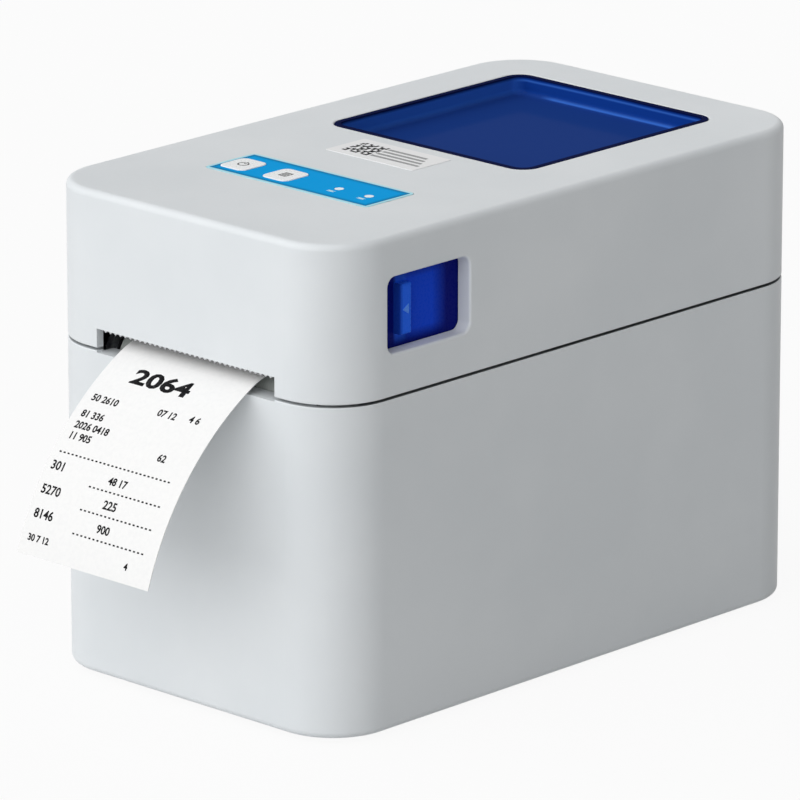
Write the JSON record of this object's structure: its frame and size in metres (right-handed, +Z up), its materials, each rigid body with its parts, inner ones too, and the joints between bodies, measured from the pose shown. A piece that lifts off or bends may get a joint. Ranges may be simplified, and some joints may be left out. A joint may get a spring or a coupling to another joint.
{
  "type": "thermal label printer",
  "caption": "Desktop thermal label printer with a hinged top cover, see-through roll window, side latches, control keys and a label strip leaving the front slot.",
  "frame": {"origin": "on the desk, under the middle of the whole outline from the end of the label strip to the hinge barrels", "axes": "+Z up, +Y from the label exit to the hinge, +X to the right seen from the front"},
  "size_m": [0.112, 0.2348, 0.1396],
  "materials": {
    "case_plastic": "satin moulded plastic with a fine grain",
    "blue_tint": "deep blue see-through moulding",
    "panel_film": "printed cyan-blue film",
    "key_white": "white moulded plastic",
    "led_lens": "clear light pipe",
    "paper": null,
    "core_card": "rolled grey-brown card",
    "sticker_film": "white film",
    "foot_rubber": "matt black rubber",
    "platen_rubber": "pale grey ground silicone rubber",
    "steel": "bright steel",
    "zinc_sheet": "zinc-plated sheet",
    "aluminium": "extruded aluminium",
    "inner_plastic": "dark grey moulded plastic",
    "gear_plastic": "black acetal",
    "board": "green circuit board",
    "black_plastic": "black moulded plastic",
    "brass": "turned brass",
    "ceramic": null,
    "motor_can": "plated motor can"
  },
  "bodies": {
    "base": {"base_case": "case_plastic", "base_posts": "inner_plastic", "rubber_feet": "foot_rubber", "bottom_screws": "steel", "roll_bin": "inner_plastic", "label_web": "paper", "mech_frame": "zinc_sheet", "frame_screws": "steel", "front_deck": "case_plastic", "paper_guide": "inner_plastic", "gap_sensor": "black_plastic", "platen_bushes": "gear_plastic", "idler_pin": "steel", "stepper_motor": "motor_can", "motor_screws": "steel", "latch_keepers": "steel", "main_board": "board", "board_screws": "steel", "power_jack": "black_plastic", "usb_socket": "steel", "rocker_housing": "black_plastic", "hinge_pins": "steel"},
    "cover": {"top_cover": "case_plastic", "cover_posts": "case_plastic", "right_latch_guide": "case_plastic", "left_latch_guide": "case_plastic", "window": "blue_tint", "control_panel": "panel_film", "panel_board": "board", "panel_screws": "steel", "status_leds": "led_lens", "info_sticker": "sticker_film", "head_carrier": "zinc_sheet", "carrier_screws": "steel", "head_pivot_pin": "steel", "head_springs": "steel", "tear_bar": "steel", "right_latch_spring": "steel", "left_latch_spring": "steel"},
    "right_latch": {"right_latch": "blue_tint"},
    "left_latch": {"left_latch": "blue_tint"},
    "power_key": {"power_key": "key_white"},
    "feed_key": {"feed_key": "key_white"},
    "head": {"head_bracket": "aluminium", "print_head": "ceramic"},
    "roll": {"label_roll": "paper", "roll_core": "core_card"},
    "platen": {"platen_roller": "platen_rubber", "platen_shaft": "steel", "platen_gear": "gear_plastic"},
    "idler": {"idler_gear": "gear_plastic"},
    "motor_rotor": {"motor_pinion": "brass"},
    "right_guide": {"right_roll_guide": "inner_plastic"},
    "left_guide": {"left_roll_guide": "inner_plastic"},
    "guide_pinion": {"guide_pinion": "gear_plastic"},
    "rocker": {"power_rocker": "black_plastic"}
  },
  "joints": [
    {"name": "cover_hinge", "type": "hinge", "parent": "base", "child": "cover", "pos_m": [0, 0.11338, 0.09485], "axis": [-1, 0, 0], "range_deg": [0, 90]},
    {"name": "right_latch_slide", "type": "slide", "parent": "cover", "child": "right_latch", "axis": [0, -1, 0], "range_m": [0, 0.004], "stiffness_N_per_m": 500, "springref_m": -0.004, "deforming": ["right_latch_spring"]},
    {"name": "left_latch_slide", "type": "slide", "parent": "cover", "child": "left_latch", "axis": [0, -1, 0], "range_m": [0, 0.004], "stiffness_N_per_m": 500, "springref_m": -0.004, "deforming": ["left_latch_spring"]},
    {"name": "power_key_press", "type": "slide", "parent": "cover", "child": "power_key", "axis": [0, 0, -1], "range_m": [0, 0.0006], "stiffness_N_per_m": 1000, "springref_m": -0.001},
    {"name": "feed_key_press", "type": "slide", "parent": "cover", "child": "feed_key", "axis": [0, 0, -1], "range_m": [0, 0.0006], "stiffness_N_per_m": 1000, "springref_m": -0.001},
    {"name": "head_float", "type": "hinge", "parent": "cover", "child": "head", "pos_m": [0, -0.04637, 0.1065], "axis": [-1, 0, 0], "range_deg": [0, 2], "stiffness_Nm_per_rad": 1, "springref_deg": -11.46, "deforming": ["head_springs"]},
    {"name": "roll_spin", "type": "hinge", "parent": "base", "child": "roll", "pos_m": [0, 0.05538, 0.0585], "axis": [1, 0, 0], "continuous": true},
    {"name": "platen_spin", "type": "hinge", "parent": "base", "child": "platen", "pos_m": [0, -0.06437, 0.0915], "axis": [1, 0, 0], "continuous": true},
    {"name": "idler_spin", "type": "hinge", "parent": "base", "child": "idler", "pos_m": [0, -0.05423, 0.07702], "axis": [1, 0, 0], "continuous": true},
    {"name": "motor_spin", "type": "hinge", "parent": "base", "child": "motor_rotor", "pos_m": [0, -0.04492, 0.06593], "axis": [1, 0, 0], "continuous": true},
    {"name": "right_guide_slide", "type": "slide", "parent": "base", "child": "right_guide", "axis": [1, 0, 0], "range_m": [0, 0.0055]},
    {"name": "left_guide_slide", "type": "slide", "parent": "base", "child": "left_guide", "axis": [-1, 0, 0], "range_m": [0, 0.0055]},
    {"name": "guide_pinion_spin", "type": "hinge", "parent": "base", "child": "guide_pinion", "pos_m": [0, 0.05538, 0.0065], "axis": [0, 0, 1], "range_deg": [0, 45.12]},
    {"name": "power_rocker_tilt", "type": "hinge", "parent": "base", "child": "rocker", "pos_m": [0.032, 0.11178, 0.026], "axis": [0, 0, 1], "range_deg": [0, 16]}
  ],
  "couplings": [
    {"joint": "platen_spin", "follows": "roll_spin", "ratio": 5.7143},
    {"joint": "idler_spin", "follows": "roll_spin", "ratio": -4.7619},
    {"joint": "motor_spin", "follows": "roll_spin", "ratio": 9.5238},
    {"joint": "left_guide_slide", "follows": "right_guide_slide", "ratio": 1},
    {"joint": "guide_pinion_spin", "follows": "right_guide_slide", "rad_per_m": 142.86}
  ]
}
